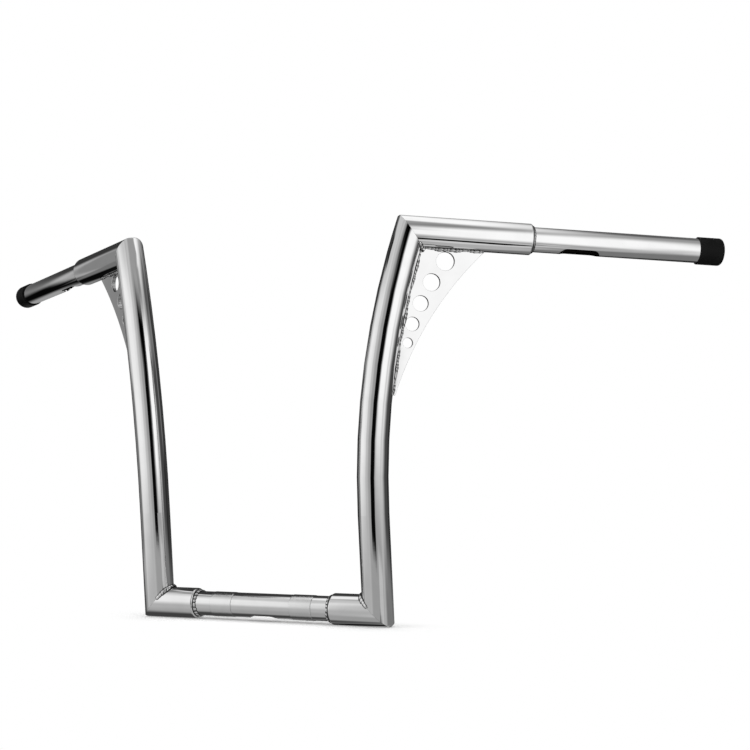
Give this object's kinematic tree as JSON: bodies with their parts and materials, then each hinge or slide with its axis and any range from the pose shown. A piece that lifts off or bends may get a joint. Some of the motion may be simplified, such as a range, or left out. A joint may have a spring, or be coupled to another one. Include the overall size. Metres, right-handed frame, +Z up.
{
  "type": "ape hanger handlebar",
  "caption": "Tall handlebar: fat curved risers with mitred, welded stubs over a thin clamp tube and swept-back grip tubes, drilled plate gussets, wiring slots and end caps.",
  "frame": {"origin": "middle of the clamp tube, on its centre line, halfway between the two knurled bands", "axes": "+X along the clamp tube towards the bar's right-hand side as seen from the front, +Z up, +Y to the rear, where the grips sweep"},
  "size_m": [0.8976, 0.2079, 0.4105],
  "materials": {
    "tube_chrome": "polished chrome plate on steel tube",
    "plate_chrome": "polished chrome plate on steel plate",
    "weld_chrome": "chrome plate over rippled weld",
    "cap_plastic": "black moulded plastic, slightly satin"
  },
  "bodies": {
    "root": {"clamp_tube": "tube_chrome", "lower_stub_left": "tube_chrome", "lower_stub_right": "tube_chrome", "riser_left": "tube_chrome", "riser_right": "tube_chrome", "upper_stub_left": "tube_chrome", "upper_stub_right": "tube_chrome", "grip_tube_left": "tube_chrome", "grip_tube_right": "tube_chrome", "gusset_left": "plate_chrome", "gusset_right": "plate_chrome", "end_cap_left": "cap_plastic", "end_cap_right": "cap_plastic", "lower_corner_weld_left": "weld_chrome", "lower_corner_weld_right": "weld_chrome", "upper_corner_weld_left": "weld_chrome", "upper_corner_weld_right": "weld_chrome", "clamp_collar_weld_left": "weld_chrome", "clamp_collar_weld_right": "weld_chrome", "grip_collar_weld_left": "weld_chrome", "grip_collar_weld_right": "weld_chrome", "gusset_stub_weld_left": "weld_chrome", "gusset_stub_weld_right": "weld_chrome", "gusset_riser_weld_left": "weld_chrome", "gusset_riser_weld_right": "weld_chrome"}
  },
  "joints": []
}
